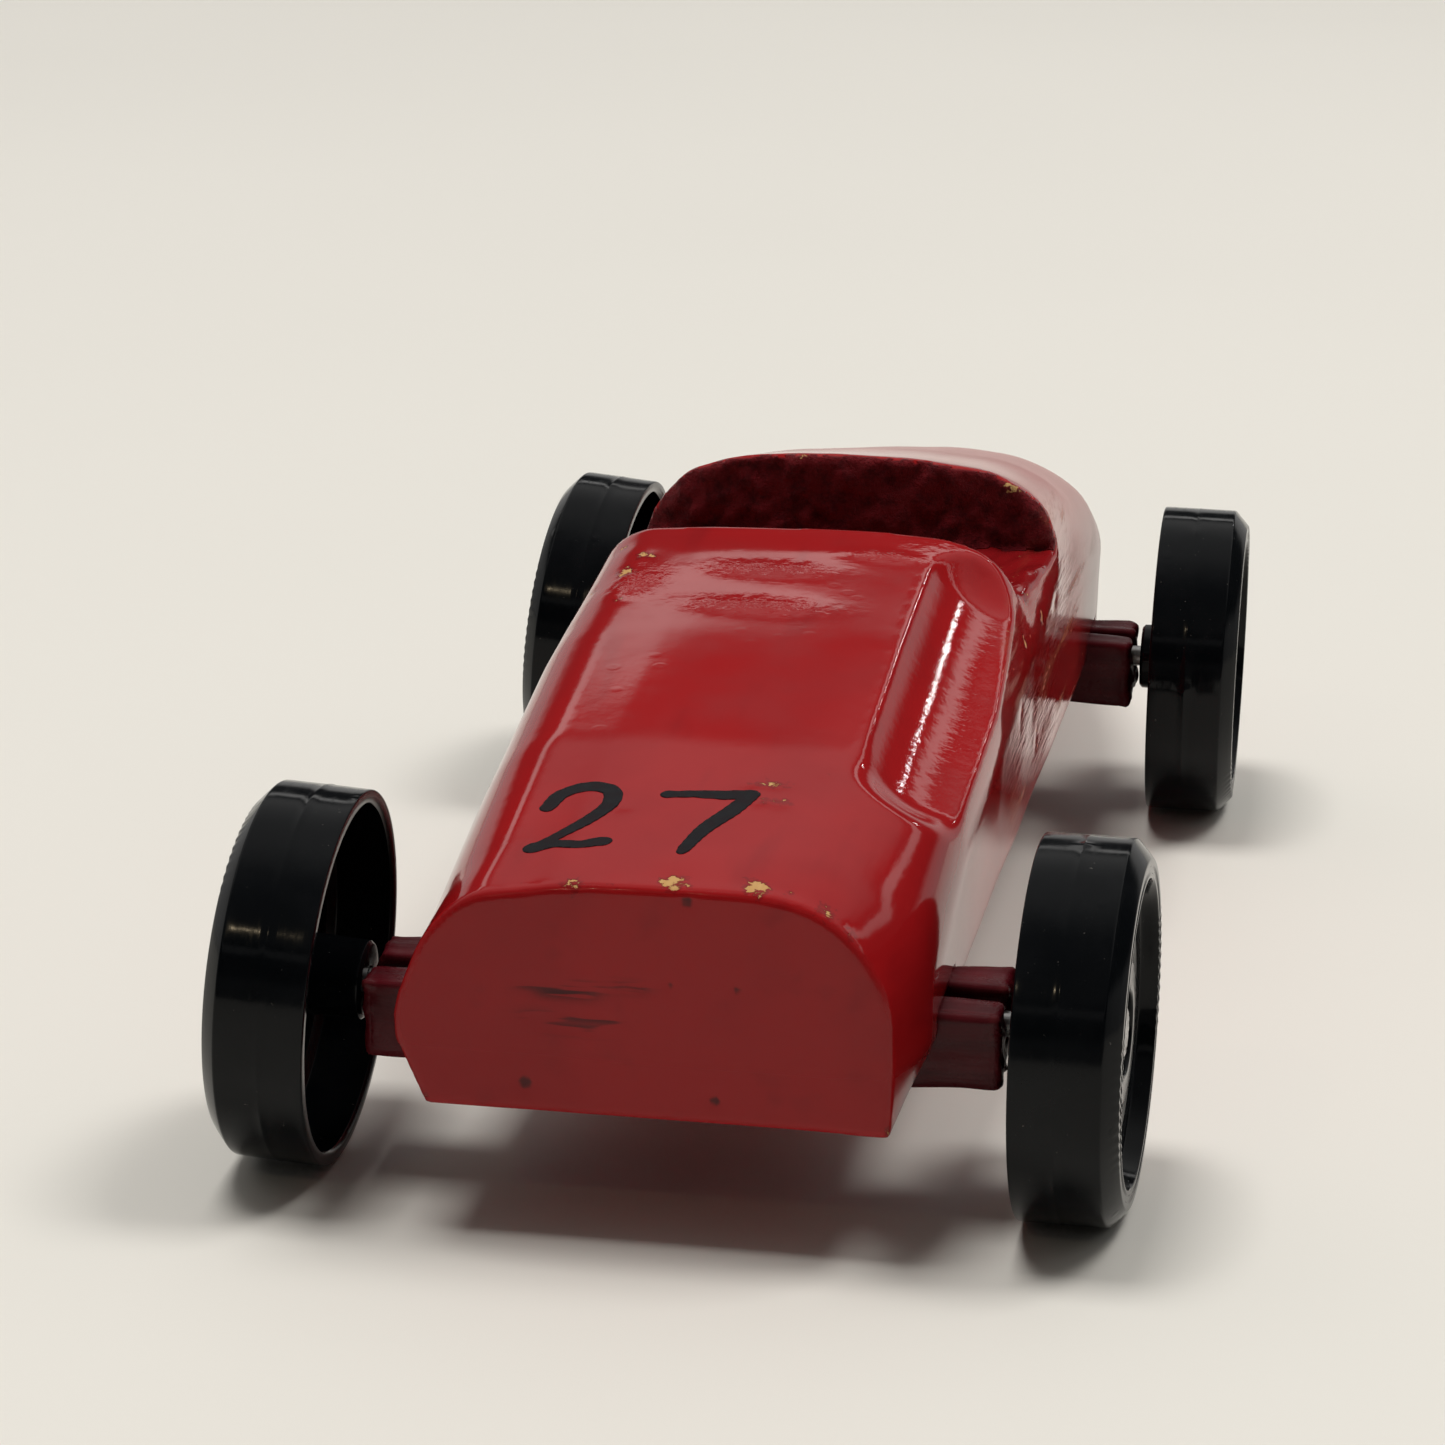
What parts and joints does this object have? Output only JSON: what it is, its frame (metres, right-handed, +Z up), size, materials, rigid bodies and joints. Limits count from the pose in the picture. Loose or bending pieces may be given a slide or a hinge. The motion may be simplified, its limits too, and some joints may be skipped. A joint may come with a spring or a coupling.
{
  "type": "wooden toy racing car",
  "caption": "Hand-carved block-wood toy racing car with a cockpit notch, a low sloping tail and hollow plastic wheels that roll freely on nails.",
  "frame": {"origin": "centre of the footprint, on the floor", "axes": "+Z up, the nose looks along -Y, +X to the right when facing the nose"},
  "size_m": [0.072, 0.1786, 0.0425],
  "materials": {
    "red_paint": "brushed gloss enamel over softwood, chipped along the edges",
    "strut_paint": "thin dark red paint over softwood",
    "nail_steel": "plain drawn steel",
    "wheel_plastic": "moulded gloss black"
  },
  "bodies": {
    "chassis": {"body": "red_paint", "strut_front": "strut_paint", "strut_rear": "strut_paint", "axle_nails": "nail_steel"},
    "wheel_front_left": {"wheel_front_left": "wheel_plastic"},
    "wheel_front_right": {"wheel_front_right": "wheel_plastic"},
    "wheel_rear_left": {"wheel_rear_left": "wheel_plastic"},
    "wheel_rear_right": {"wheel_rear_right": "wheel_plastic"}
  },
  "joints": [
    {"name": "front_left_spin", "type": "hinge", "parent": "chassis", "child": "wheel_front_left", "pos_m": [-0.02689, -0.07417, 0.01498], "axis": [-0.9983, 0, 0.0576], "continuous": true},
    {"name": "front_right_spin", "type": "hinge", "parent": "chassis", "child": "wheel_front_right", "pos_m": [0.02731, -0.07417, 0.015], "axis": [0.9997, -0.0262, 0], "continuous": true},
    {"name": "rear_left_spin", "type": "hinge", "parent": "chassis", "child": "wheel_rear_left", "pos_m": [-0.02554, 0.03683, 0.01494], "axis": [-0.9957, 0.0349, 0.0854], "continuous": true},
    {"name": "rear_right_spin", "type": "hinge", "parent": "chassis", "child": "wheel_rear_right", "pos_m": [0.02726, 0.03683, 0.01507], "axis": [0.9996, 0.0244, -0.0105], "continuous": true}
  ]
}
